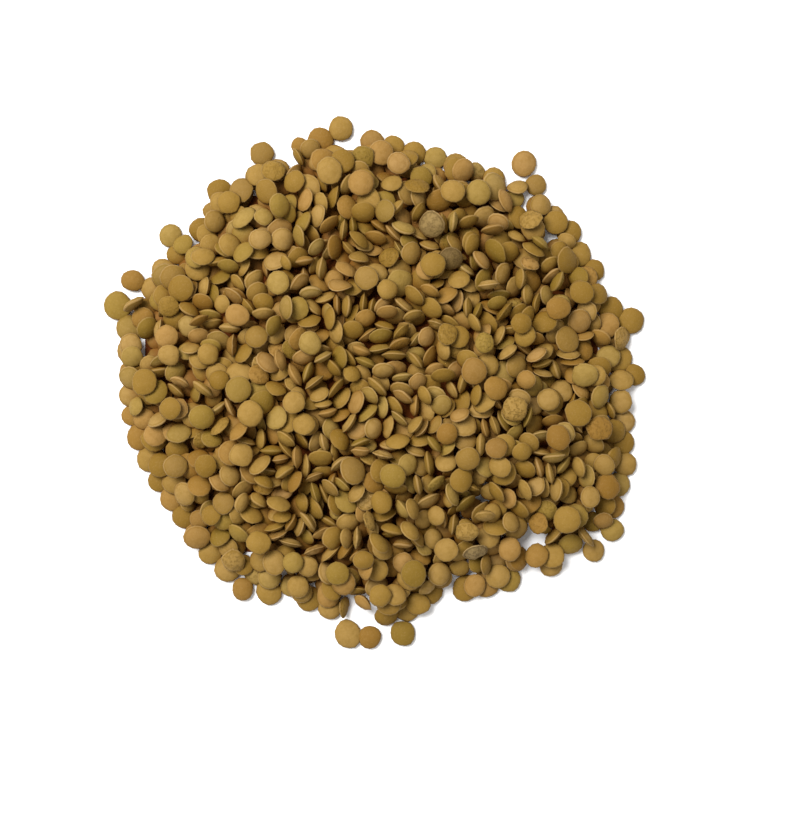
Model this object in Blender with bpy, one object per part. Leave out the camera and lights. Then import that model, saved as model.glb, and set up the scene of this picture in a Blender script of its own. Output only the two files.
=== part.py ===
"""A loose heap of dry brown-green lentils, as poured out on a table.

The heap is one solid. A low mound with a flat underside is its core, and the lentils that show lie
half sunk in it, each at its true size with few sides. At the edge the heap is one lentil thick and
they lie flat; further in they lie in several layers, many of them tilted or on edge.

The lentils are laid one by one by a rule: first those along the outline, flat on the table side by
side, then each takes the best of a few places drawn at random, resting on what is already there,
until the heap has filled its profile.

+X is to the right in the view from above, +Y up in that view, and the origin is under the middle of
the heap's box, on the table.
"""

import math
import random

import bmesh
import bpy
import numpy as np
from mathutils import Matrix, Vector
from mathutils.bvhtree import BVHTree
from mathutils.geometry import delaunay_2d_cdt

MM = 0.001

# One lentil: a disc with two domed faces that meet in a rounded edge.
LENTIL_ACROSS = 6.25 * MM
LENTIL_THICK = 2.5 * MM
SIZE_SPREAD = 0.08            # standard deviation, as a share of the size
LENTIL_SIDES = 8

# The heap's profile, from its edge inwards.
HEAP_HEIGHT = 18.4 * MM
EDGE_HEIGHT = 2.3 * MM
SLOPE_RUN = 46.0 * MM
SLOPE_CURVE = 1.7

# The line through the edge lentils' centres: how far out it lies, in mm, every 10 degrees from +X.
OUTLINE = (
    63.4, 63.6, 63.4, 62.7, 62.8, 61.8, 61.4, 60.8, 60.6, 62.8, 64.8, 64.2,
    62.4, 62.8, 61.2, 62.4, 66.6, 65.8, 63.8, 63.8, 62.4, 61.8, 61.4, 61.6,
    57.8, 57.4, 60.2, 63.0, 58.3, 56.3, 59.3, 61.3, 65.8, 69.6, 67.6, 65.0,
)
# Lentils that lie a little further out or by themselves: (x, y) in mm.
OUTLIERS = (
    (66.9, 2.2), (65.9, 16.3), (38.1, 57.1), (41.2, 51.6), (56.2, -43.4), (61.0, -38.0),
    (45.1, -47.2), (40.5, -44.8), (46.7, -41.8), (34.1, -51.0), (28.2, -52.0), (22.8, -53.2),
    (13.8, -54.0), (-7.7, -65.1), (-2.0, -65.9), (6.6, -64.9), (-28.2, -54.0), (-35.0, -53.4),
    (-63.6, 26.7), (-67.5, 20.2), (-53.7, 38.4), (-41.2, 50.1), (-30.0, 59.7), (-9.5, 66.2),
)

# The rule that lays the lentils.
GRID = 0.4 * MM               # the step of the map of heights
MAP_HALF = 77.0 * MM
SEED = 5
SPOTS = 30                    # places looked at for each lentil
TRIES = 14                    # the emptiest of them, where it is tried
SIDE_BY_SIDE = 0.88           # between edge lentils, as a share of their width: their thin rims overlap
EDGE_JITTER = 0.7 * MM
EDGE_TURN = 0.3               # degrees
BORDER = 3.0 * MM             # in here the lentils lie flat
LOOSENING = 12.0 * MM         # and over this width they go over to jumbled
ON_EDGE_SHARE = 0.45          # of the lentils well inside
ON_EDGE_LEAN = (55, 90)       # degrees, least and most, for those
HEADING_SPREAD = 0.5          # radians, between those that stand side by side
FLAT_LEAN = 7                 # degrees, for the others at the edge
JUMBLED_LEAN = 20             # and this much more well inside
MOST_LEAN = 60
LEAST_GAP = 0.3               # of a lentil's thickness, that a place must still lack
MOST_PROUD = 0.85             # of a lentil's thickness, above the profile
GIVE_UP = 150

# The solid.
FUSED_LENTILS = 395           # the ones that show most
CORE_STEP = 5.2 * MM          # the core's own relief is as coarse as this
CORE_SINK = 0.35 * MM         # the core's surface lies this far under the lentils' centres
CORE_INSET = 0.9 * MM         # the core ends this far inside the edge lentils' centres
CORE_MARGIN = 3.1 * MM        # between its outline and the next points of its top
CORE_EDGE = 1.5 * MM
CORE_BLUR = 2.4 * MM
LEAST_SUNK = 0.9 * MM
MOST_TRIANGLES = 11700
REST_GAP = 0.12 * MM          # keeps a lentil's lowest point off the core's flat underside
UNDERSIDE = 0.05 * MM

LENTIL_COLOUR = (0.27, 0.16, 0.038, 1.0)
LENTIL_ROUGHNESS = 0.72


def clear_scene():
    for obj in list(bpy.data.objects):
        bpy.data.objects.remove(obj)


def outline_reach(degrees):
    """How far out the edge lentils' centres lie in each direction."""
    return np.interp(degrees, np.arange(len(OUTLINE)) * 360 / len(OUTLINE), OUTLINE, period=360) * MM


def profile_height(inside):
    """The heap's height at that distance inside its outline."""
    share = np.clip(inside / SLOPE_RUN, 0, 1)
    return EDGE_HEIGHT + (HEAP_HEIGHT - EDGE_HEIGHT) * (1 - (1 - share) ** SLOPE_CURVE)


def polar(degrees, distance):
    angle = math.radians(degrees)
    return distance * math.cos(angle), distance * math.sin(angle)


class Lentil:
    """One lentil: where its centre is, the way its flat side faces, and its size."""

    def __init__(self, draw, x, y, tilt, turn):
        self.x = x
        self.y = y
        self.z = 0.0
        self.across = LENTIL_ACROSS * draw.gauss(1, SIZE_SPREAD)
        self.thick = LENTIL_THICK * draw.gauss(1, SIZE_SPREAD)
        self.spin = draw.uniform(0, 360)
        self.facing = np.array(
            (
                math.sin(tilt) * math.cos(turn),
                math.sin(tilt) * math.sin(turn),
                math.cos(tilt),
            )
        )

    def surfaces(self, dx, dy):
        """Where a vertical line at (dx, dy) from the centre meets it: (hit or not, lower, upper)."""
        across = np.outer(self.facing, self.facing)
        form = (np.eye(3) - across) / (self.across / 2) ** 2 + across / (self.thick / 2) ** 2
        slant = form[0, 2] * dx + form[1, 2] * dy
        rest = form[0, 0] * dx * dx + 2 * form[0, 1] * dx * dy + form[1, 1] * dy * dy - 1
        under_root = slant * slant - form[2, 2] * rest
        root = np.sqrt(np.maximum(under_root, 0))
        return under_root > 0, (-slant - root) / form[2, 2], (-slant + root) / form[2, 2]

    def clear_of(self, other):
        near = SIDE_BY_SIDE * (self.across + other.across) / 2
        return math.dist((self.x, self.y), (other.x, other.y)) > near


class HeightMap:
    """The heap's surface while the lentils are laid, and which lentil shows in each cell of it."""

    def __init__(self):
        self.count = int(2 * MAP_HALF / GRID)
        places = (np.arange(self.count) + 0.5) * GRID - MAP_HALF
        self.x, self.y = np.meshgrid(places, places, indexing="ij")
        degrees = np.degrees(np.arctan2(self.y, self.x))
        self.inside = outline_reach(degrees) - np.hypot(self.x, self.y)
        self.wanted = profile_height(self.inside)
        self.height = np.zeros(self.x.shape)
        self.owner = np.full(self.x.shape, -1)
        self.centre = np.zeros(self.x.shape)

    def cell(self, x, y):
        return int((x + MAP_HALF) / GRID), int((y + MAP_HALF) / GRID)

    def window(self, lentil):
        """The cells round a lentil, as slices."""
        half = int(math.ceil(lentil.across / 2 / GRID)) + 1
        i, j = self.cell(lentil.x, lentil.y)
        return slice(i - half, i + half + 1), slice(j - half, j + half + 1)

    def rest(self, lentil):
        """Lowers the lentil until it touches, and says how far above the profile its top and bottom are."""
        part = self.window(lentil)
        hit, low, up = lentil.surfaces(self.x[part] - lentil.x, self.y[part] - lentil.y)
        lentil.z = max((self.height[part] - low)[hit].max(), -low[hit].min())
        above = lentil.z - self.wanted[self.cell(lentil.x, lentil.y)]
        return above + up[hit].max(), above + low[hit].min()

    def lay(self, lentil, number):
        part = self.window(lentil)
        hit, _, up = lentil.surfaces(self.x[part] - lentil.x, self.y[part] - lentil.y)
        shows = hit & (lentil.z + up > self.height[part])
        self.height[part][shows] = (lentil.z + up)[shows]
        self.owner[part][shows] = number
        self.centre[part][shows] = lentil.z


def edge_lentils_of(draw):
    """The lentils that lie flat on the table: those further out, and those along the outline."""
    lentils = [Lentil(draw, x * MM, y * MM, 0, 0) for x, y in OUTLIERS]
    lentil = Lentil(draw, 0, 0, 0, 0)
    for turn in range(int(360 / EDGE_TURN)):
        degrees = turn * EDGE_TURN
        reach = float(outline_reach(degrees)) + draw.uniform(-EDGE_JITTER, EDGE_JITTER)
        lentil.x, lentil.y = polar(degrees, reach)
        if all(lentil.clear_of(other) for other in lentils):
            lentils.append(lentil)
            lentil = Lentil(draw, 0, 0, 0, 0)
    return lentils


def on_edge_share(x, y):
    """The share of the lentils that stand on edge there: they do so in patches."""
    wave = math.sin(x / MM / 7.5 + 2 * math.sin(y / MM / 11)) * math.sin(y / MM / 6.5 + x / MM / 19)
    return ON_EDGE_SHARE * (1 + wave)


def patch_heading(x, y):
    """The way those lentils face there: it changes slowly, so neighbours lie side by side."""
    return 2.6 * math.sin(x / MM / 14 + 1.3) + 2.6 * math.cos(y / MM / 12 - 0.7) + x / MM / 30


def drawn_lean(draw, x, y, inside):
    """How far a lentil leans over and which way: little at the edge, up to on edge further in."""
    loose = min(1.0, max(0.0, (inside - BORDER) / LOOSENING))
    if draw.random() < loose * on_edge_share(x, y):
        lean = math.radians(draw.uniform(*ON_EDGE_LEAN))
        return lean, patch_heading(x, y) + draw.gauss(0, HEADING_SPREAD)
    lean = abs(draw.gauss(0, FLAT_LEAN + JUMBLED_LEAN * loose))
    return math.radians(min(MOST_LEAN, lean)), draw.uniform(0, 2 * math.pi)


def best_lentil(draw, surface, cells):
    """Tries lentils on the emptiest of a few places; the one that nestles lowest is kept."""
    spots = [tuple(cells[draw.randrange(len(cells))]) for _ in range(SPOTS)]
    spots.sort(key=lambda spot: surface.height[spot] - surface.wanted[spot])
    best, least = None, math.inf
    for spot in spots[:TRIES]:
        if surface.wanted[spot] - surface.height[spot] < LEAST_GAP * LENTIL_THICK:
            break
        x, y = surface.x[spot], surface.y[spot]
        lentil = Lentil(draw, x, y, *drawn_lean(draw, x, y, surface.inside[spot]))
        top, bottom = surface.rest(lentil)
        if top < MOST_PROUD * LENTIL_THICK and top + bottom < least:
            best, least = lentil, top + bottom
    return best


def lay_lentils(surface):
    """The whole heap, lentil by lentil: a list that starts with the edge lentils, and their count."""
    draw = random.Random(SEED)
    lentils = []
    for lentil in edge_lentils_of(draw):
        lentil.z = lentil.thick / 2
        surface.lay(lentil, len(lentils))
        lentils.append(lentil)
    edge_count = len(lentils)
    cells = np.argwhere(surface.inside >= 0)
    misses = 0
    while misses < GIVE_UP:
        lentil = best_lentil(draw, surface, cells)
        if lentil is None:
            misses += 1
            continue
        misses = 0
        surface.lay(lentil, len(lentils))
        lentils.append(lentil)
    return lentils, edge_count


def lentil_mesh(lentil):
    """A lentil with few sides: a rim with the area of the round one, and a point on each dome."""
    mesh = bmesh.new()
    step = 2 * math.pi / LENTIL_SIDES
    radius = lentil.across / 2 * math.sqrt(step / math.sin(step))
    rim = [
        mesh.verts.new((radius * math.cos(step * i), radius * math.sin(step * i), 0))
        for i in range(LENTIL_SIDES)
    ]
    for side in (1, -1):
        tip = mesh.verts.new((0, 0, side * lentil.thick / 2))
        for i in range(LENTIL_SIDES):
            mesh.faces.new((tip, rim[i], rim[(i + 1) % LENTIL_SIDES])[::side])
    turn = Vector((0, 0, 1)).rotation_difference(Vector(lentil.facing)).to_matrix().to_4x4()
    spin = Matrix.Rotation(math.radians(lentil.spin), 4, "Z")
    place = Matrix.Translation((lentil.x, lentil.y, lentil.z + REST_GAP))
    mesh.transform(place @ turn @ spin)
    return mesh


def blurred(values, reach):
    """The map with each cell made the mean of the cells within that reach, along X and then along Y."""
    cells = int(reach / GRID)
    for axis in (0, 1):
        values = sum(np.roll(values, shift, axis) for shift in range(-cells, cells + 1)) / (2 * cells + 1)
    return values


def core_level(surface):
    """The map of the core's surface: it follows the centres of the lentils that show."""
    laid = (surface.owner >= 0).astype(float)
    return blurred(surface.centre, CORE_BLUR) / np.maximum(blurred(laid, CORE_BLUR), 0.05) - CORE_SINK


def sink_into(lentil, surface, core):
    """Lowers a lentil that would lie clear of the core."""
    part = surface.window(lentil)
    hit, low, _ = lentil.surfaces(surface.x[part] - lentil.x, surface.y[part] - lentil.y)
    deepest = -low[hit].min()
    under = core.ray_cast((lentil.x, lentil.y, 2 * HEAP_HEIGHT), (0, 0, -1))[0]
    if under is not None:
        lentil.z = min(lentil.z, under.z + deepest - LEAST_SUNK)
    lentil.z = max(lentil.z, deepest)


def core_outline(edge_lentils):
    """The core's outline runs just inside the centres of the edge lentils, in order round the heap."""
    polars = [(math.atan2(lentil.y, lentil.x), math.hypot(lentil.x, lentil.y)) for lentil in edge_lentils]
    polars.sort()
    return [(angle, reach - CORE_INSET) for angle, reach in polars]


def core_mesh(surface, level, edge_lentils):
    """The mound under the lentils: a flat underside, a low edge and a top that follows their centres."""
    outline = core_outline(edge_lentils)
    angles, reaches = zip(*outline)
    rim = [Vector((reach * math.cos(angle), reach * math.sin(angle))) for angle, reach in outline]
    spots = list(rim)
    row_step = CORE_STEP * math.sqrt(3) / 2
    rows = int(MAP_HALF / row_step)
    for row in range(-rows, rows + 1):
        for column in range(-rows, rows + 1):
            x, y = (column + row % 2 / 2) * CORE_STEP, row * row_step
            limit = np.interp(math.atan2(y, x), angles, reaches, period=2 * math.pi)
            if math.hypot(x, y) < limit - CORE_MARGIN:
                spots.append(Vector((x, y)))
    points, _, faces, *_ = delaunay_2d_cdt(spots, [], [list(range(len(rim)))], 1, 1e-6)
    mesh = bmesh.new()
    top = []
    for i, point in enumerate(points):
        height = CORE_EDGE if i < len(rim) else max(CORE_EDGE, level[surface.cell(*point)])
        top.append(mesh.verts.new((point.x, point.y, height)))
    bottom = [mesh.verts.new((point.x, point.y, 0.0)) for point in rim]
    for face in faces:
        mesh.faces.new([top[i] for i in face])
    for i, low in enumerate(bottom):
        after = (i + 1) % len(bottom)
        mesh.faces.new((top[i], low, bottom[after], top[after]))
    mesh.faces.new(bottom[::-1])
    bmesh.ops.recalc_face_normals(mesh, faces=mesh.faces)
    bmesh.ops.triangulate(mesh, faces=mesh.faces)
    return mesh


def new_object(name, mesh, collection):
    data = bpy.data.meshes.new(name)
    mesh.to_mesh(data)
    mesh.free()
    obj = bpy.data.objects.new(name, data)
    collection.objects.link(obj)
    return obj


def apply_modifiers(obj):
    bpy.context.view_layer.update()
    depsgraph = bpy.context.evaluated_depsgraph_get()
    mesh = bpy.data.meshes.new_from_object(obj.evaluated_get(depsgraph))
    obj.modifiers.clear()
    obj.data = mesh


def fuse(core, pieces):
    """Joins the pieces to the core by one Boolean union, and removes them."""
    union = core.modifiers.new("fuse", "BOOLEAN")
    union.operation = "UNION"
    union.solver = "MANIFOLD"
    union.operand_type = "COLLECTION"
    union.collection = pieces
    apply_modifiers(core)
    for obj in list(pieces.objects):
        bpy.data.objects.remove(obj)
    bpy.data.collections.remove(pieces)


def shells_of(mesh):
    """The vertices of each separate shell, the largest shell last."""
    shells, left = [], set(mesh.verts)
    while left:
        start = left.pop()
        shell, fresh = {start}, [start]
        while fresh:
            vert = fresh.pop()
            for link in vert.link_edges:
                other = link.other_vert(vert)
                if other in left:
                    left.remove(other)
                    shell.add(other)
                    fresh.append(other)
        shells.append(shell)
    return sorted(shells, key=len)


def keep_outer_body(obj):
    """Fills the hollows that fusing sealed and drops loose scraps: only the largest shell stays."""
    mesh = bmesh.new()
    mesh.from_mesh(obj.data)
    for shell in shells_of(mesh)[:-1]:
        bmesh.ops.delete(mesh, geom=list(shell), context="VERTS")
    mesh.to_mesh(obj.data)
    mesh.free()


def thin_out(obj):
    """Merges the smallest faces, but leaves the flat underside as it is."""
    group = obj.vertex_groups.new(name="above the table")
    group.add([vert.index for vert in obj.data.vertices if vert.co.z > UNDERSIDE], 1.0, "REPLACE")
    obj.data.calc_loop_triangles()
    thin = obj.modifiers.new("thin", "DECIMATE")
    thin.ratio = MOST_TRIANGLES / len(obj.data.loop_triangles)
    thin.use_collapse_triangulate = True
    thin.vertex_group = group.name
    apply_modifiers(obj)
    obj.vertex_groups.clear()


def centre_on_table(obj):
    """Moves the heap so that its box stands on the table with the origin under its middle."""
    corners = np.array([vert.co for vert in obj.data.vertices])
    low, high = corners.min(axis=0), corners.max(axis=0)
    middle = (low + high) / 2
    obj.data.transform(Matrix.Translation((-middle[0], -middle[1], -low[2])))


def lentil_skin():
    """Dry, dull, khaki-tan seed coat."""
    material = bpy.data.materials.new("lentil skin")
    material.use_nodes = True
    shader = material.node_tree.nodes["Principled BSDF"]
    shader.inputs["Base Color"].default_value = LENTIL_COLOUR
    shader.inputs["Roughness"].default_value = LENTIL_ROUGHNESS
    shader.inputs["Metallic"].default_value = 0.0
    return material


def build_heap():
    surface = HeightMap()
    lentils, edge_count = lay_lentils(surface)
    shows = np.bincount(surface.owner[surface.owner >= 0], minlength=len(lentils))
    order = sorted(range(edge_count, len(lentils)), key=lambda number: -shows[number])
    chosen = list(range(edge_count)) + order[:FUSED_LENTILS - edge_count]
    core = core_mesh(surface, core_level(surface), lentils[:edge_count])
    core_tree = BVHTree.FromBMesh(core)
    scene = bpy.context.scene.collection
    heap = new_object("lentil_heap", core, scene)
    pieces = bpy.data.collections.new("lentils")
    scene.children.link(pieces)
    for number in chosen:
        sink_into(lentils[number], surface, core_tree)
        new_object(f"lentil_{number}", lentil_mesh(lentils[number]), pieces)
    fuse(heap, pieces)
    keep_outer_body(heap)
    thin_out(heap)
    centre_on_table(heap)
    heap.data.materials.append(lentil_skin())


clear_scene()
build_heap()
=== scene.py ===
import math
import random

import bpy
import numpy as np
from mathutils import Matrix, Quaternion, Vector


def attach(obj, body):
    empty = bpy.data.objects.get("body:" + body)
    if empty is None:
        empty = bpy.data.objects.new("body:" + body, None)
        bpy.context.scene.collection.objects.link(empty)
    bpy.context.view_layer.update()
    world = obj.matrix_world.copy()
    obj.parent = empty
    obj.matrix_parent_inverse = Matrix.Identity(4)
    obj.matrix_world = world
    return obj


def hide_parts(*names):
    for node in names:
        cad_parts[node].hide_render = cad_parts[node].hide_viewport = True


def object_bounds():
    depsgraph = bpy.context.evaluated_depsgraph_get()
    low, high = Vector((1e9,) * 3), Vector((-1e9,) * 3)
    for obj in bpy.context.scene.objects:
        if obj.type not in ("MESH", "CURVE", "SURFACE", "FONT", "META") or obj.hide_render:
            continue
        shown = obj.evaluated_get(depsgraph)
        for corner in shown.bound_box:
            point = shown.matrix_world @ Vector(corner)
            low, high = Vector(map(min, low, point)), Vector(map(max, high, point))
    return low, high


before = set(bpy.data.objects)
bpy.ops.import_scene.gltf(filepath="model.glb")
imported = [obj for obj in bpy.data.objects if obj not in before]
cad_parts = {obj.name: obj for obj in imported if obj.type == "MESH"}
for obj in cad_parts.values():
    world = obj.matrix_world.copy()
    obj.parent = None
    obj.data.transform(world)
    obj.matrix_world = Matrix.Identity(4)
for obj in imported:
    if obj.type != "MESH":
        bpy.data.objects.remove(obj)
cad_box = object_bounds()

# The heap's form: a loose pile of dry lentils, poured out on a table and spread a little by hand.
# It is one lentil thick at its uneven edge and rises gently to about seven lentils in the middle.

MM = 0.001
LENTIL_ACROSS = 6.25 * MM
LENTIL_THICK = 2.5 * MM
SIZE_SPREAD = 0.08

HEAP_HEIGHT = 18.4 * MM
EDGE_HEIGHT = 2.3 * MM
SLOPE_RUN = 46.0 * MM
SLOPE_CURVE = 1.7

# The line through the edge lentils' centres: how far out it lies, in mm, every 10 degrees from +X.
OUTLINE = (
    63.4, 63.6, 63.4, 62.7, 62.8, 61.8, 61.4, 60.8, 60.6, 62.8, 64.8, 64.2,
    62.4, 62.8, 61.2, 62.4, 66.6, 65.8, 63.8, 63.8, 62.4, 61.8, 61.4, 61.6,
    57.8, 57.4, 60.2, 63.0, 58.3, 56.3, 59.3, 61.3, 65.8, 69.6, 67.6, 65.0,
)
# Lentils that lie a little further out or by themselves: (x, y) in mm.
OUTLIERS = (
    (66.9, 2.2), (65.9, 16.3), (38.1, 57.1), (41.2, 51.6), (56.2, -43.4), (61.0, -38.0),
    (45.1, -47.2), (40.5, -44.8), (46.7, -41.8), (34.1, -51.0), (28.2, -52.0), (22.8, -53.2),
    (13.8, -54.0), (-7.7, -65.1), (-2.0, -65.9), (6.6, -64.9), (-28.2, -54.0), (-35.0, -53.4),
    (-63.6, 26.7), (-67.5, 20.2), (-53.7, 38.4), (-41.2, 50.1), (-30.0, 59.7), (-9.5, 66.2),
)
# Spots near the edge where the table shows between the lentils: (x, y, radius) in mm.
BARE_SPOTS = (
    (-22.0, 57.3, 0.8), (-7.7, 61.8, 0.7), (37.1, 53.2, 0.7), (60.7, 24.1, 0.8), (26.9, -30.0, 0.8),
    (39.4, -40.9, 2.4), (-5.9, -59.2, 0.9), (-2.5, -60.5, 0.9), (24.5, -48.6, 0.9),
)


def outline_reach(degrees):
    return np.interp(degrees, np.arange(len(OUTLINE)) * 360 / len(OUTLINE), OUTLINE, period=360) * MM


def profile_height(inside):
    """The heap's height at that distance inside its outline."""
    share = np.clip(inside / SLOPE_RUN, 0, 1)
    return EDGE_HEIGHT + (HEAP_HEIGHT - EDGE_HEIGHT) * (1 - (1 - share) ** SLOPE_CURVE)


# The core: what lies under the lentils that show, deep enough that it is only seen as the dark
# between them. They rest on it.

CORE_DEPTH = 7.0 * MM


def core_height(inside):
    return np.maximum(profile_height(inside) - CORE_DEPTH, 0)


# Laying: the lentils are poured loosely over the core. First come those that lie flat on the table,
# along the outline and in a few rows inside it, then each goes to the best of a few places drawn at
# random, until they stand some way above the heap's profile.

GRID = 0.4 * MM
MAP_HALF = 77.0 * MM
SEED = 5
SPOTS = 100
TRIES = 50
SIDE_BY_SIDE = 0.88
EDGE_JITTER = 0.7 * MM
EDGE_TURN = 0.3
ROW_INSETS = (0.4, 0.8, 1.2, 1.6, 2.0, 2.4, 2.8)
ODD_LEAN = 12
BORDER = 3.0 * MM
LOOSENING = 12.0 * MM
ON_EDGE_SHARE = 1.15
ON_EDGE_LEAN = (55, 90)
HEADING_SPREAD = 0.5
FLAT_LEAN = 7
JUMBLED_LEAN = 20
MOST_LEAN = 60
LEAST_GAP = 0.2
MOST_PROUD = 1.15
EDGE_LAYERS = 2.5
GIVE_UP = 60
LOOSE = 1.1
SPREAD_OUT = 2.0 * MM
# Lentils on top that look different, and where they lie: (kind, x, y) in mm.
ODD_ONES = (
    ("mouldy", 14.4, 39.1), ("mouldy", 17.8, 31.3), ("mouldy", 23.5, -42.3),
    ("olive", -21.5, 18.9), ("olive", 56.6, -3.5), ("rusty", 40.5, -44.8),
)


class Lentil:
    """One lentil: where its centre is, the way its flat side faces, and its size."""

    def __init__(self, draw, x, y, tilt, turn):
        self.x = x
        self.y = y
        self.z = 0.0
        self.across = LENTIL_ACROSS * draw.gauss(1, SIZE_SPREAD)
        self.thick = LENTIL_THICK * draw.gauss(1, SIZE_SPREAD)
        self.spin = draw.uniform(0, 360)
        self.kind = None
        self.facing = np.array(
            (
                math.sin(tilt) * math.cos(turn),
                math.sin(tilt) * math.sin(turn),
                math.cos(tilt),
            )
        )

    def surfaces(self, dx, dy):
        """Where a vertical line at (dx, dy) from the centre meets it: (hit or not, lower, upper)."""
        across = np.outer(self.facing, self.facing)
        form = (np.eye(3) - across) / (self.across / 2) ** 2 + across / (self.thick / 2) ** 2
        slant = form[0, 2] * dx + form[1, 2] * dy
        rest = form[0, 0] * dx * dx + 2 * form[0, 1] * dx * dy + form[1, 1] * dy * dy - 1
        under_root = slant * slant - form[2, 2] * rest
        root = np.sqrt(np.maximum(under_root, 0))
        return under_root > 0, (-slant - root) / form[2, 2], (-slant + root) / form[2, 2]

    def clear_of(self, other):
        near = SIDE_BY_SIDE * (self.across + other.across) / 2
        return math.dist((self.x, self.y), (other.x, other.y)) > near

    def matrix(self):
        turn = Vector((0, 0, 1)).rotation_difference(Vector(self.facing))
        spin = Quaternion((0, 0, 1), math.radians(self.spin))
        return Matrix.LocRotScale(Vector((self.x, self.y, self.z)), turn @ spin, None)


class HeightMap:
    """The heap's surface while the lentils are laid."""

    def __init__(self):
        places = (np.arange(int(2 * MAP_HALF / GRID)) + 0.5) * GRID - MAP_HALF
        self.x, self.y = np.meshgrid(places, places, indexing="ij")
        degrees = np.degrees(np.arctan2(self.y, self.x))
        self.inside = outline_reach(degrees) - np.hypot(self.x, self.y)
        self.height = core_height(self.inside)
        above_edge = np.maximum(profile_height(self.inside) - self.height - EDGE_HEIGHT, 0)
        self.wanted = self.height + EDGE_HEIGHT + above_edge * LOOSE
        proud = MOST_PROUD * np.clip(self.inside / LOOSENING, 0, 1)
        self.most = np.maximum(self.wanted + proud * LENTIL_THICK, EDGE_LAYERS * LENTIL_THICK)
        self.bare = np.zeros(self.x.shape, bool)
        for x, y, radius in BARE_SPOTS:
            self.bare |= np.hypot(self.x - x * MM, self.y - y * MM) < radius * MM

    def cell(self, x, y):
        return int((x + MAP_HALF) / GRID), int((y + MAP_HALF) / GRID)

    def window(self, lentil):
        half = int(math.ceil(lentil.across / 2 / GRID)) + 1
        i, j = self.cell(lentil.x, lentil.y)
        return slice(i - half, i + half + 1), slice(j - half, j + half + 1)

    def rest(self, lentil):
        """Lowers the lentil until it touches, and says how high its top and its bottom are then."""
        part = self.window(lentil)
        hit, low, up = lentil.surfaces(self.x[part] - lentil.x, self.y[part] - lentil.y)
        lentil.z = max((self.height[part] - low)[hit].max(), -low[hit].min())
        if self.bare[part][hit].any():
            return math.inf, math.inf
        return lentil.z + up[hit].max(), lentil.z + low[hit].min()

    def lay(self, lentil):
        part = self.window(lentil)
        hit, _, up = lentil.surfaces(self.x[part] - lentil.x, self.y[part] - lentil.y)
        higher = hit & (lentil.z + up > self.height[part])
        self.height[part][higher] = (lentil.z + up)[higher]


def flat_lentils(draw):
    """Those that lie flat on the table side by side: further out, along the outline and inside it."""
    lentils = [Lentil(draw, x * MM, y * MM, 0, 0) for x, y in OUTLIERS]
    for inset in (0, *ROW_INSETS):
        lentil = Lentil(draw, 0, 0, 0, 0)
        for turn in range(int(360 / EDGE_TURN)):
            degrees = turn * EDGE_TURN
            jitter = draw.uniform(-EDGE_JITTER, EDGE_JITTER)
            reach = float(outline_reach(degrees)) - inset * LENTIL_ACROSS + jitter
            lentil.x = reach * math.cos(math.radians(degrees))
            lentil.y = reach * math.sin(math.radians(degrees))
            if all(lentil.clear_of(other) for other in lentils):
                lentils.append(lentil)
                lentil = Lentil(draw, 0, 0, 0, 0)
    return lentils


def on_edge_share(x, y):
    """The share of the lentils that stand on edge there: they do so in patches."""
    wave = math.sin(x / MM / 7.5 + 2 * math.sin(y / MM / 11)) * math.sin(y / MM / 6.5 + x / MM / 19)
    return ON_EDGE_SHARE * (1 + wave)


def patch_heading(x, y):
    """The way those lentils face there: it changes slowly, so neighbours lie side by side."""
    return 2.6 * math.sin(x / MM / 14 + 1.3) + 2.6 * math.cos(y / MM / 12 - 0.7) + x / MM / 30


def drawn_lean(draw, x, y, inside):
    """How far a lentil leans over and which way: little at the edge, up to on edge further in."""
    loose = min(1.0, max(0.0, (inside - BORDER) / LOOSENING))
    if draw.random() < loose * on_edge_share(x, y):
        lean = math.radians(draw.uniform(*ON_EDGE_LEAN))
        return lean, patch_heading(x, y) + draw.gauss(0, HEADING_SPREAD)
    lean = abs(draw.gauss(0, FLAT_LEAN + JUMBLED_LEAN * loose))
    return math.radians(min(MOST_LEAN, lean)), draw.uniform(0, 2 * math.pi)


def best_lentil(draw, surface, cells):
    """Tries lentils on the emptiest of a few places; the one that nestles lowest is kept."""
    spots = [tuple(cells[draw.randrange(len(cells))]) for _ in range(SPOTS)]
    spots.sort(key=lambda spot: surface.height[spot] - surface.wanted[spot])
    best, least = None, math.inf
    for spot in spots[:TRIES]:
        x = surface.x[spot] + draw.gauss(0, SPREAD_OUT)
        y = surface.y[spot] + draw.gauss(0, SPREAD_OUT)
        inside = surface.inside[surface.cell(x, y)]
        if inside < 0:
            continue
        lentil = Lentil(draw, x, y, *drawn_lean(draw, x, y, inside))
        top, bottom = surface.rest(lentil)
        above = top + bottom - 2 * surface.wanted[spot]
        if top < surface.most[spot] and above < least:
            best, least = lentil, above
    return best


def lay_lentils(surface):
    """The whole heap, lentil by lentil: a list that starts with the flat ones, and their count."""
    draw = random.Random(SEED)
    lentils = [lentil for lentil in flat_lentils(draw) if surface.rest(lentil)[0] < math.inf]
    for lentil in lentils:
        surface.lay(lentil)
    flat_count = len(lentils)
    misses = 0
    while misses < GIVE_UP:
        lacking = surface.wanted - surface.height
        cells = np.argwhere((surface.inside > 0) & (lacking > LEAST_GAP * LENTIL_THICK))
        lentil = best_lentil(draw, surface, cells)
        if lentil is None:
            misses += 1
            continue
        misses = 0
        surface.lay(lentil)
        lentils.append(lentil)
    for kind, x, y in ODD_ONES:
        lean = math.radians(draw.uniform(0, ODD_LEAN))
        lentil = Lentil(draw, x * MM, y * MM, lean, draw.uniform(0, 2 * math.pi))
        lentil.kind = kind
        surface.rest(lentil)
        surface.lay(lentil)
        lentils.append(lentil)
    return lentils, flat_count


surface = HeightMap()
lentils, flat_count = lay_lentils(surface)


# Settling: the loosely laid lentils drop and jostle until they lean on each other, as poured ones
# do. It runs at a hundred times their size, because rigid bodies of a few millimetres jitter.

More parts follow.
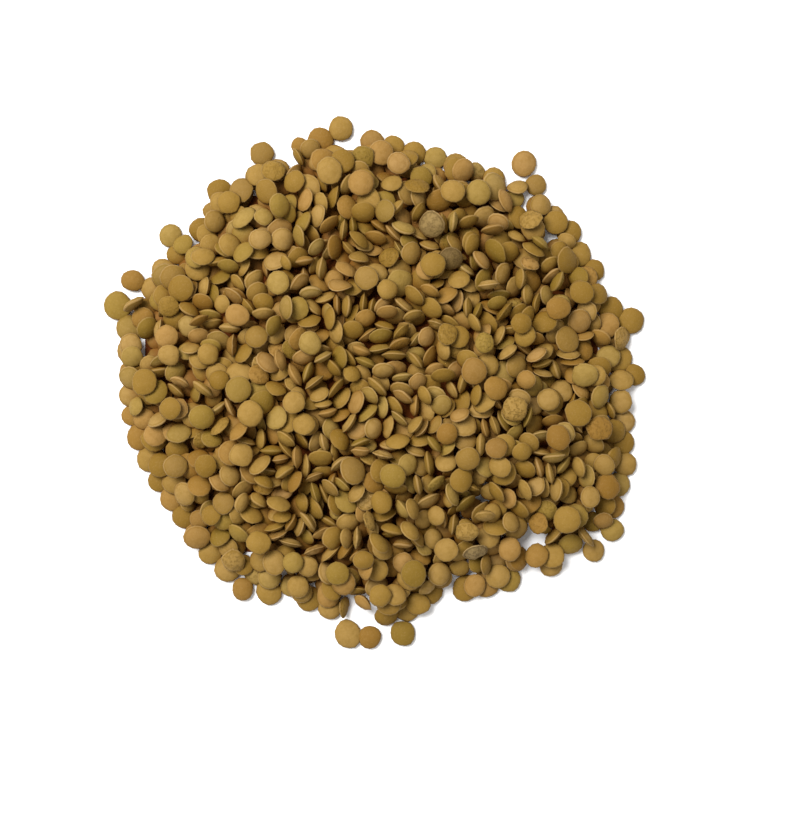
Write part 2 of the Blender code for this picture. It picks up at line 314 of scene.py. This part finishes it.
SETTLE_SCALE = 100
SETTLE_FRAMES = 20
STEPS_A_FRAME = 4
SOLVER_ROUNDS = 10
SETTLE_TABLE = 60
FRICTION = 10.0
SLOWING = 0.97
TURN_SLOWING = 0.9
HULL_SIDES = 10
HULL_RINGS = ((0.55, 0.80), (0.85, 0.42), (1.0, 0.0))
CORE_MESH_STEP = 5


def select_only(objects):
    bpy.ops.object.select_all(action="DESELECT")
    for obj in objects:
        obj.select_set(True)
    bpy.context.view_layer.objects.active = objects[0]


def hull_mesh(lentil, number):
    """A rough lentil with its centre at the origin, for its collisions."""
    points = [(0, 0, 0.5), (0, 0, -0.5)]
    for radius, height in HULL_RINGS:
        for i in range(HULL_SIDES):
            angle = 2 * math.pi * i / HULL_SIDES
            x, y = radius * math.cos(angle) / 2, radius * math.sin(angle) / 2
            points += [(x, y, height / 2), (x, y, -height / 2)]
    mesh = bpy.data.meshes.new(f"rough_lentil_{number}")
    size = np.array((lentil.across, lentil.across, lentil.thick)) * SETTLE_SCALE
    mesh.from_pydata((np.array(points) * size).tolist(), [], [])
    return mesh


def sheet_object(name, points, cells):
    """A sheet with a four-sided face over each chosen cell of a grid of points."""
    columns = points.shape[1]
    faces = []
    for i, j in np.argwhere(cells):
        corner = int(i * columns + j)
        faces.append((corner, corner + columns, corner + columns + 1, corner + 1))
    mesh = bpy.data.meshes.new(name)
    mesh.from_pydata(points.reshape(-1, 3).tolist(), [], faces)
    sheet = bpy.data.objects.new(name, mesh)
    bpy.context.scene.collection.objects.link(sheet)
    return sheet


def settling_core():
    step = slice(None, None, CORE_MESH_STEP)
    heights = core_height(surface.inside)[step, step]
    points = np.stack([surface.x[step, step], surface.y[step, step], heights], -1) * SETTLE_SCALE
    return sheet_object("settling_core", points, heights[:-1, :-1] + heights[1:, 1:] > 0)


def add_bodies(objects, kind, shape):
    select_only(objects)
    bpy.ops.rigidbody.objects_add(type=kind)
    for obj in objects:
        body = obj.rigid_body
        body.collision_shape = shape
        body.friction = FRICTION
        body.restitution = 0.0
        body.use_margin = True
        body.collision_margin = 0.0
        body.linear_damping = SLOWING
        body.angular_damping = TURN_SLOWING


def settled_matrices():
    """Each lentil's place after settling; the flat ones stay where they lie."""
    scene = bpy.context.scene
    stand_ins = []
    for number, lentil in enumerate(lentils):
        stand_in = bpy.data.objects.new(f"rough_lentil_{number}", hull_mesh(lentil, number))
        stand_in.rotation_mode = "QUATERNION"
        place, turn, _ = lentil.matrix().decompose()
        stand_in.location = place * SETTLE_SCALE
        stand_in.rotation_quaternion = turn
        scene.collection.objects.link(stand_in)
        stand_ins.append(stand_in)
    core = settling_core()
    bpy.ops.object.select_all(action="DESELECT")
    bpy.ops.mesh.primitive_plane_add(size=SETTLE_TABLE)
    table = bpy.context.object
    bpy.ops.rigidbody.world_add()
    world = scene.rigidbody_world
    world.substeps_per_frame = STEPS_A_FRAME
    world.solver_iterations = SOLVER_ROUNDS
    world.point_cache.frame_end = SETTLE_FRAMES + 1
    add_bodies(stand_ins[flat_count:], "ACTIVE", "CONVEX_HULL")
    add_bodies(stand_ins[:flat_count], "PASSIVE", "CONVEX_HULL")
    add_bodies([core], "PASSIVE", "MESH")
    add_bodies([table], "PASSIVE", "BOX")
    for number in range(1, SETTLE_FRAMES + 1):
        scene.frame_set(number)
    depsgraph = bpy.context.evaluated_depsgraph_get()
    found = [np.array(stand_in.evaluated_get(depsgraph).matrix_world) for stand_in in stand_ins]
    bpy.ops.rigidbody.world_remove()
    for obj in stand_ins + [core, table]:
        mesh = obj.data
        bpy.data.objects.remove(obj)
        bpy.data.meshes.remove(mesh)
    scene.frame_set(1)
    found = np.array(found)
    found[:, :3, 3] /= SETTLE_SCALE
    return found


places = settled_matrices()

surface = HeightMap()
for lentil, place in zip(lentils, places):
    lentil.x, lentil.y, lentil.z = place[:3, 3]
    lentil.facing = place[:3, 2]
    surface.lay(lentil)

# A few more lie on the settled ones, where the core or the table still shows between them, and no
# higher than those.
MORE_TRIES = 400

surface.most = np.minimum(surface.most, surface.height.max())
draw = random.Random(SEED + 1)
for _ in range(MORE_TRIES):
    shown = (surface.inside > 0) & ~surface.bare & (surface.height <= core_height(surface.inside))
    lentil = best_lentil(draw, surface, np.argwhere(shown))
    if lentil is not None:
        surface.lay(lentil)
        lentils.append(lentil)
        places = np.concatenate([places, [np.array(lentil.matrix())]])

# The heap is centred, and drawn in a little where it has spread further than its solid, with some
# room left for the lentils' unevenness.
BOX_GAP = 0.6 * MM
TOP_GAP = 0.35 * MM
halves = np.array([[lentil.across / 2] for lentil in lentils])
lowest = (places[:, :2, 3] - halves).min(axis=0)
highest = (places[:, :2, 3] + halves).max(axis=0)
cad_size = np.subtract(cad_box[1], cad_box[0])[:2]
drawn_in = np.minimum(1, (cad_size - BOX_GAP - (highest - lowest)) / (highest - lowest) + 1)
places[:, :2, 3] = (places[:, :2, 3] - (lowest + highest) / 2) * drawn_in
places[:, 2, 3] *= min(1, (cad_box[1][2] - TOP_GAP) / surface.height.max())

# The lentils: whole seeds in a dry coat, dull and dusty. Each is a flat lens with a thin blunt rim
# that looks a little paler, partly its own colour and partly a painted highlight. Their colour also
# holds painted shade, darker and browner down between them, in creases and on sides that don't face
# up. One is modelled, and its copies are joined by kind. No two are alike:
# some are oval, some flat at one side, some dented or warped.

LENTIL_SIDES = 14
LENTIL_RINGS = ((0.90, 0.26), (0.60, 0.76))
RIM_MARKS = ((0.60, 0.90, 1.0), (0.0, 0.5, 1.0))
SCAR_FROM = 0.99
TABLE_GAP = 0.02 * MM
# How uneven they are. Lengths are in halves of a lentil's width or thickness, and pairs are the
# least and the most. OVAL, WARP, WRINKLES and the two EDGE values in thousandths are standard
# deviations, EDGE_WAVES are counts round the rim, and ALL_ROUND is a full turn.
OVAL = 0.03
FLAT_SIDE = (0.84, 1.15)
FLAT_SIDE_LEFT = 0.35
DOME = (0.85, 1.08)
RIM_INSIDE = 0.8
RIM_THICK = (0.55, 1.1)
WARP = 0.12
DENTED_SHARE = 0.4
DENT_PLACE = (0.1, 0.6)
DENT_DEPTH = (0.1, 0.4)
DENT_SIZE = 0.12
EDGE_WAVES = (2, 3, 4, 5)
EDGE_UNEVEN = 0.012
EDGE_WRINKLED = 0.018
WRINKLES = 0.18
WRINKLED = (0.4, 1.0)
SMOOTH = (0, 0.15)
ALL_ROUND = 6.28


def model_lentil():
    """One lentil, 2 across and 2 thick, before it gets its own size: a rim, drawn in to each dome."""
    bpy.ops.object.select_all(action="DESELECT")
    bpy.ops.mesh.primitive_circle_add(vertices=LENTIL_SIDES, radius=1.0)
    lentil = bpy.context.object
    bpy.ops.object.mode_set(mode="EDIT")
    bpy.ops.mesh.select_all(action="SELECT")
    last_radius, last_height = 1.0, 0.0
    for radius, height in LENTIL_RINGS:
        bpy.ops.mesh.extrude_region_move(TRANSFORM_OT_translate={"value": (0, 0, height - last_height)})
        shrink = radius / last_radius
        bpy.ops.transform.resize(value=(shrink, shrink, 1))
        last_radius, last_height = radius, height
    bpy.ops.mesh.extrude_region_move(TRANSFORM_OT_translate={"value": (0, 0, 1 - last_height)})
    bpy.ops.mesh.merge(type="CENTER")
    bpy.ops.object.mode_set(mode="OBJECT")
    mirror = lentil.modifiers.new("other dome", "MIRROR")
    mirror.use_axis = (False, False, True)
    mirror.merge_threshold = 0.0001
    bpy.ops.object.modifier_apply(modifier=mirror.name)
    bpy.ops.object.mode_set(mode="EDIT")
    bpy.ops.mesh.select_all(action="SELECT")
    bpy.ops.mesh.normals_make_consistent(inside=False)
    bpy.ops.object.mode_set(mode="OBJECT")
    points = np.array([vert.co for vert in lentil.data.vertices])
    faces = [tuple(face.vertices) for face in lentil.data.polygons]
    mesh = lentil.data
    bpy.data.objects.remove(lentil)
    bpy.data.meshes.remove(mesh)
    return points, faces


def varied(points, draw, wrinkled):
    """The lentil's points, made uneven: oval, domes unlike, one side flatter, dented, warped."""
    x, y, z = points.T.copy()
    angle = np.arctan2(y, x)
    radius = np.hypot(x, y)
    oval = draw.gauss(0, OVAL)
    x *= 1 + oval
    y *= 1 - oval
    flat = draw.uniform(*FLAT_SIDE)
    x = np.where(x > flat, flat + (x - flat) * FLAT_SIDE_LEFT, x)
    z = np.where(z > 0, z * draw.uniform(*DOME), z * draw.uniform(*DOME))
    z = np.where(radius > RIM_INSIDE, z * draw.uniform(*RIM_THICK), z)
    z += draw.gauss(0, WARP) * np.cos(2 * angle + draw.uniform(0, ALL_ROUND)) * radius ** 2
    if draw.random() < DENTED_SHARE:
        reach = draw.uniform(*DENT_PLACE)
        way = draw.uniform(0, 2 * math.pi)
        off = (x - reach * math.cos(way)) ** 2 + (y - reach * math.sin(way)) ** 2
        z -= np.sign(z) * draw.uniform(*DENT_DEPTH) * np.exp(-off / DENT_SIZE)
    uneven = EDGE_UNEVEN + EDGE_WRINKLED * wrinkled
    waves = [
        draw.gauss(0, uneven) * np.cos(count * angle + draw.uniform(0, ALL_ROUND))
        for count in EDGE_WAVES
    ]
    x *= 1 + sum(waves)
    y *= 1 + sum(waves)
    z *= 1 + wrinkled * np.array([draw.gauss(0, WRINKLES) for _ in z])
    return np.stack([x, y, z], -1)


def blurred(values, reach):
    """The map with each cell made the mean of the cells within that reach, along X and then along Y."""
    cells = int(reach / GRID)
    for axis in (0, 1):
        values = sum(np.roll(values, shift, axis) for shift in range(-cells, cells + 1)) / (2 * cells + 1)
    return values


def join_lentils(name, numbers, draw, wrinkled_share):
    """One mesh of all lentils of a kind, with what sets each one or each point apart as attributes."""
    marks = {mark: [] for mark in ("shade", "dust", "wrinkled", "rim", "scar", "depth")}
    all_points, all_faces = [], []
    count = len(master_points)
    reach = np.hypot(*master_points[:, :2].T)
    rim = np.interp(reach, *RIM_MARKS)
    scar = (master_points[:, 0] > SCAR_FROM).astype(float)
    for number in numbers:
        lentil = lentils[number]
        size = np.array((lentil.across, lentil.across, lentil.thick)) / 2
        wrinkled = draw.uniform(*(WRINKLED if draw.random() < wrinkled_share else SMOOTH))
        points = varied(master_points, draw, wrinkled) * size
        points = points @ places[number][:3, :3].T + places[number][:3, 3]
        points[:, 2] = np.maximum(points[:, 2], TABLE_GAP)
        first = count * len(all_points)
        all_points.append(points)
        all_faces += [tuple(first + i for i in face) for face in master_faces]
        cells = ((points[:, :2] + MAP_HALF) / GRID).astype(int)
        marks["shade"].append(np.full(count, draw.random()))
        marks["dust"].append(np.full(count, draw.random()))
        marks["wrinkled"].append(np.full(count, wrinkled))
        marks["rim"].append(rim)
        marks["scar"].append(scar)
        # How far each point lies below the heap's mean height, in lentil thicknesses: the coat paints
        # shade by it.
        marks["depth"].append((mean_height[cells[:, 0], cells[:, 1]] - points[:, 2]) / LENTIL_THICK)
    mesh = bpy.data.meshes.new(name)
    mesh.from_pydata(np.concatenate(all_points).tolist(), [], all_faces)
    mesh.shade_smooth()
    for mark, values in marks.items():
        mesh.attributes.new(mark, "FLOAT", "POINT").data.foreach_set("value", np.concatenate(values))
    piece = bpy.data.objects.new(name, mesh)
    bpy.context.scene.collection.objects.link(piece)
    return piece


class Value:
    """A shader value that can be written in sums: a socket of a node, with the usual operators."""

    def __init__(self, finish, output):
        self.finish = finish
        self.output = output

    def math(self, operation, first, second):
        return self.finish.node("ShaderNodeMath", {"operation": operation}, (first, second))

    def __add__(self, other):
        return self.math("ADD", self, other)

    __radd__ = __add__

    def __sub__(self, other):
        return self.math("SUBTRACT", self, other)

    def __rsub__(self, other):
        return self.math("SUBTRACT", other, self)

    def __mul__(self, other):
        return self.math("MULTIPLY", self, other)

    __rmul__ = __mul__


DULL = 0.16
NOISE_ROUGHNESS = 0.6


class Finish:
    """A dull material with its Principled shader, and the means to add nodes to it."""

    def __init__(self, name, roughness):
        self.material = bpy.data.materials.new(name)
        self.material.use_nodes = True
        self.tree = self.material.node_tree
        self.shader = self.tree.nodes["Principled BSDF"]
        self.set("Roughness", roughness)
        self.set("Specular IOR Level", DULL)

    def node(self, kind, settings, values, output=0):
        """Adds a node: its settings first, then the values or links of its sockets."""
        node = self.tree.nodes.new(kind)
        for name, setting in settings.items():
            setattr(node, name, setting)
        items = values.items() if isinstance(values, dict) else enumerate(values)
        for key, value in items:
            self.put(node.inputs[key], value)
        return Value(self, node.outputs[output])

    def put(self, socket, value):
        if isinstance(value, Value):
            self.tree.links.new(value.output, socket)
        else:
            socket.default_value = value

    def set(self, name, value):
        self.put(self.shader.inputs[name], value)

    def mark(self, name):
        return self.node("ShaderNodeAttribute", {"attribute_name": name}, {}, "Fac")

    def facing_up(self):
        """1 where the surface faces straight up, 0 where it stands upright."""
        normal = self.node("ShaderNodeNewGeometry", {}, {}, "Normal")
        return self.node("ShaderNodeSeparateXYZ", {}, (normal,), "Z")

    def noise(self, scale, detail=3.0):
        place = self.node("ShaderNodeTexCoord", {}, {}, "Object")
        values = {"Vector": place, "Scale": scale, "Detail": detail, "Roughness": NOISE_ROUGHNESS}
        return self.node("ShaderNodeTexNoise", {}, values, "Fac")

    def ramp(self, value, low, high):
        """0 under low, 1 over high, smooth between."""
        values = {"Value": value, "From Min": low, "From Max": high}
        return self.node("ShaderNodeMapRange", {"interpolation_type": "SMOOTHSTEP"}, values)

    def mix(self, share, first, second):
        values = {0: share, 6: first, 7: second}
        return self.node("ShaderNodeMix", {"data_type": "RGBA"}, values, 2)

    def bump(self, height, distance, strength):
        values = {"Height": height, "Distance": distance, "Strength": strength}
        return self.node("ShaderNodeBump", {}, values)


# Dust on the coat. The paler rim line is painted with it too, partly the rim's own colour and partly a
# painted highlight.
DUST_AND_RIM_HIGHLIGHT_COLOUR = (0.288, 0.182, 0.073, 1)
SCAR_COLOUR = (0.050, 0.022, 0.006, 1)
# Painted shade: down between the others, and on sides that face them, the coat is painted a darker,
# browner colour, for the shade there, where only light that has turned brown on other lentils gets in.
SHADED_COLOUR = (0.215, 0.088, 0.005, 1)
# Painted shade: the dark brown that lentils lying deep between the others are painted.
UNDER_SHADE_COLOUR = (0.125, 0.040, 0.002, 1)
COAT_ROUGHNESS = 0.74
# The grain of the coat, in waves to the metre, from coarse to fine.
MOTTLE_GRAIN = 650.0
FINE_GRAIN = 900.0
CREASE_GRAIN = 1100.0
SPECK_GRAIN = 2400.0
FINEST_GRAIN = 3500.0
RELIEF = 0.25 * MM
RELIEF_STRENGTH = 0.7


def seed_coat(name, pale, middle, deep):
    """Dry seed coat: each lentil a tone of its own, faintly mottled, its rim a thin paler line that is
    partly a painted highlight; painted shade makes it darker between the lentils, in creases and on sides
    that don't face up.
    """
    finish = Finish(name, COAT_ROUGHNESS)
    shade = finish.mark("shade")
    dust = finish.mark("dust")
    wrinkled = finish.mark("wrinkled")
    rim = finish.mark("rim")
    own = finish.mix(finish.ramp(shade, 0.0, 0.6), deep, middle)
    own = finish.mix(finish.ramp(shade, 0.4, 1.0), own, pale)
    own = finish.mix(finish.ramp(dust, 0.55, 1.0) * 0.25, own, DUST_AND_RIM_HIGHLIGHT_COLOUR)
    mottle = finish.ramp(finish.noise(MOTTLE_GRAIN), 0.38, 0.70)
    own = finish.mix(mottle * 0.34, own, deep)
    specks = finish.ramp(finish.noise(SPECK_GRAIN, 2.0), 0.52, 0.74)
    own = finish.mix(specks * 0.22, own, DUST_AND_RIM_HIGHLIGHT_COLOUR)
    creases = finish.ramp(finish.noise(CREASE_GRAIN, 5.0), 0.50, 0.62)
    # Painted shade in the creases of wrinkled lentils: darker where the bump sinks.
    own = finish.mix(creases * wrinkled * 0.5, own, deep)
    # Painted shade: a darker line just inside the rim, where the dome meets it.
    groove_shade = finish.ramp(rim, 0.26, 0.46) * (1 - finish.ramp(rim, 0.50, 0.60))
    own = finish.mix(groove_shade * (0.15 + dust * 0.45), own, deep)
    # The paler rim line: partly the coat's own paler rim and partly a painted highlight along it.
    own = finish.mix(finish.ramp(rim, 0.52, 0.72) * (0.12 + dust * 0.38), own, DUST_AND_RIM_HIGHLIGHT_COLOUR)
    own = finish.mix(finish.ramp(finish.mark("scar"), 0.55, 0.85) * 0.8, own, SCAR_COLOUR)
    depth = finish.mark("depth")
    # Painted shade: sides that don't face up, from a little above the heap's mean height downwards, are
    # painted the shaded brown.
    shaded = finish.ramp(depth, -0.3, 0.8) * finish.ramp(1 - finish.facing_up(), 0.2, 0.9)
    own = finish.mix(shaded * 0.5, own, SHADED_COLOUR)
    # Painted shade: the deeper a point lies below the heap's mean height, the more it goes to the dark
    # brown.
    own = finish.mix(finish.ramp(depth, 0.6, 2.2) * 0.8, own, UNDER_SHADE_COLOUR)
    finish.set("Base Color", own)
    fine = finish.noise(FINE_GRAIN, 4.0) * 0.7 + finish.noise(FINEST_GRAIN, 2.0) * 0.3
    height = fine - creases * wrinkled * 0.9
    finish.set("Normal", finish.bump(height, RELIEF, RELIEF_STRENGTH))
    return finish.material


KIND_SEED = 11
DEPTH_BLUR = 0.6 * LENTIL_ACROSS
# Kinds: name, share, share of wrinkled ones, and the colours pale, middle and deep.
KINDS = (
    ("tan", 0.58, 0.06, (0.246, 0.146, 0.035, 1), (0.207, 0.119, 0.019, 1), (0.159, 0.086, 0.009, 1)),
    ("olive", 0.20, 0.08, (0.237, 0.151, 0.035, 1), (0.198, 0.123, 0.019, 1), (0.151, 0.088, 0.009, 1)),
    ("rusty", 0.22, 0.08, (0.249, 0.138, 0.035, 1), (0.210, 0.111, 0.019, 1), (0.162, 0.080, 0.009, 1)),
    ("mouldy", 0.0, 1.0, (0.215, 0.150, 0.058, 1), (0.160, 0.102, 0.028, 1), (0.061, 0.034, 0.008, 1)),
)

master_points, master_faces = model_lentil()
mean_height = blurred(surface.height, DEPTH_BLUR)
names, shares = zip(*(kind[:2] for kind in KINDS))
draw = random.Random(KIND_SEED)
for lentil in lentils:
    lentil.kind = lentil.kind or draw.choices(names, shares)[0]

for name, _, wrinkled_share, *colours in KINDS:
    numbers = [number for number, lentil in enumerate(lentils) if lentil.kind == name]
    piece = join_lentils(f"lentils_{name}", numbers, random.Random(name), wrinkled_share)
    piece.data.materials.append(seed_coat(f"{name} seed coat", *colours))
    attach(piece, "root")
    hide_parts("lentil_heap")

# The core under them: lentils too deep to tell apart, in the dark. It is one closed body, a sheet
# over the table extruded down, and its dark red-brown colour is painted shade, the shade between
# the lentils. Near the edge it is only a thin layer, left out where the table shows.

CORE_STEP = 3
CORE_SINK = 1.2 * MM
CORE_INSET = 4.5 * MM
BARE_MARGIN = 4.0 * MM
CORE_LEAST = 0.3 * MM
CORE_UNDERSIDE = 0.1 * MM
CORE_ROUGHNESS = 0.9
CORE_GRAIN = 400.0
# Painted shade: the core's dark red-brown, a little uneven, is the shade between the lentils.
CORE_SHADE_COLOUR = (0.090, 0.018, 0.001, 1)
CORE_SHADE_PALER = (0.115, 0.028, 0.002, 1)


def dark_core():
    step = slice(CORE_STEP // 2, None, CORE_STEP)
    beside_bare = blurred(surface.bare.astype(float), BARE_MARGIN) > 0
    shown = ((surface.inside > CORE_INSET) & ~beside_bare)[step, step]
    heights = np.maximum(core_height(surface.inside)[step, step] - CORE_SINK, CORE_LEAST)
    points = np.stack([surface.x[step, step], surface.y[step, step], heights], -1)
    cells = shown[:-1, :-1] & shown[1:, :-1] & shown[:-1, 1:] & shown[1:, 1:]
    # Two cells that touch only at a corner get a third beside them, so that the core is one body.
    cells[1:, :-1] |= cells[:-1, :-1] & cells[1:, 1:] & ~cells[:-1, 1:]
    cells[:-1, :-1] |= cells[1:, :-1] & cells[:-1, 1:] & ~cells[1:, 1:]
    core = sheet_object("dark_core", points, cells)
    select_only([core])
    bpy.ops.object.mode_set(mode="EDIT")
    bpy.ops.mesh.select_all(action="SELECT")
    bpy.ops.mesh.delete_loose()
    bpy.ops.mesh.select_all(action="SELECT")
    bpy.ops.mesh.extrude_region_move(TRANSFORM_OT_translate={"value": (0, 0, -HEAP_HEIGHT)})
    bpy.ops.mesh.select_all(action="SELECT")
    bpy.ops.mesh.normals_make_consistent(inside=False)
    bpy.ops.object.mode_set(mode="OBJECT")
    for vert in core.data.vertices:
        if vert.co.z < 0:
            vert.co.z = CORE_UNDERSIDE
    return core


core = dark_core()
core_finish = Finish("dark_core", CORE_ROUGHNESS)
core_finish.set("Base Color", core_finish.mix(core_finish.noise(CORE_GRAIN), CORE_SHADE_COLOUR, CORE_SHADE_PALER))
core.data.materials.append(core_finish.material)
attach(core, "root")
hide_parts("lentil_heap")

# The floor: a plain white ground with a dull surface, which the lentils lie on. It is a flat plane
# much wider than the heap.

FLOOR_SIZE = 6
FLOOR_ROUGHNESS = 0.8
FLOOR_WHITE = (0.93, 0.93, 0.93, 1)

bpy.ops.object.select_all(action="DESELECT")
bpy.ops.mesh.primitive_plane_add(size=FLOOR_SIZE, location=(0, 0, 0))
floor = bpy.context.object
floor.name = "floor"
floor_finish = Finish("floor", FLOOR_ROUGHNESS)
floor_finish.set("Base Color", FLOOR_WHITE)
floor.data.materials.append(floor_finish.material)

# Light: a large soft round light from the upper left, turned to the heap, and an even white
# surround that fills the shadows.

LAMP_PLACE = (-0.35, 0.30, 0.80)
LAMP_ACROSS = 0.55
LAMP_WATTS = 15
SURROUND_WHITE = (1, 1, 1, 1)
SURROUND_STRENGTH = 0.64

bpy.ops.object.light_add(type="AREA", location=LAMP_PLACE)
lamp = bpy.context.object
lamp.data.shape = "DISK"
lamp.data.size = LAMP_ACROSS
lamp.data.energy = LAMP_WATTS
lamp.rotation_euler = (-lamp.location).to_track_quat("-Z", "Y").to_euler()
world = bpy.data.worlds.new("surround")
bpy.context.scene.world = world
world.use_nodes = True
background = world.node_tree.nodes["Background"]
background.inputs["Color"].default_value = SURROUND_WHITE
background.inputs["Strength"].default_value = SURROUND_STRENGTH

# Camera: straight above, at the photograph's scale, with the heap a little left of and above the
# middle of the picture. The picture's height and the two places of the heap are in pixels.

MM_PER_PIXEL = 0.26
PICTURE_HEIGHT = 822
HEAP_LEFT = 19.5
HEAP_ABOVE = 28.5
CAMERA_DISTANCE = 0.45
SENSOR = 36

pixel = MM_PER_PIXEL * MM
camera_data = bpy.data.cameras.new("camera")
camera = bpy.data.objects.new("camera", camera_data)
bpy.context.scene.collection.objects.link(camera)
camera.location = (HEAP_LEFT * pixel, -HEAP_ABOVE * pixel, CAMERA_DISTANCE)
camera_data.sensor_width = SENSOR
camera_data.lens = SENSOR * CAMERA_DISTANCE / (PICTURE_HEIGHT * pixel)
bpy.context.scene.camera = camera
bpy.context.scene.view_settings.view_transform = "Standard"
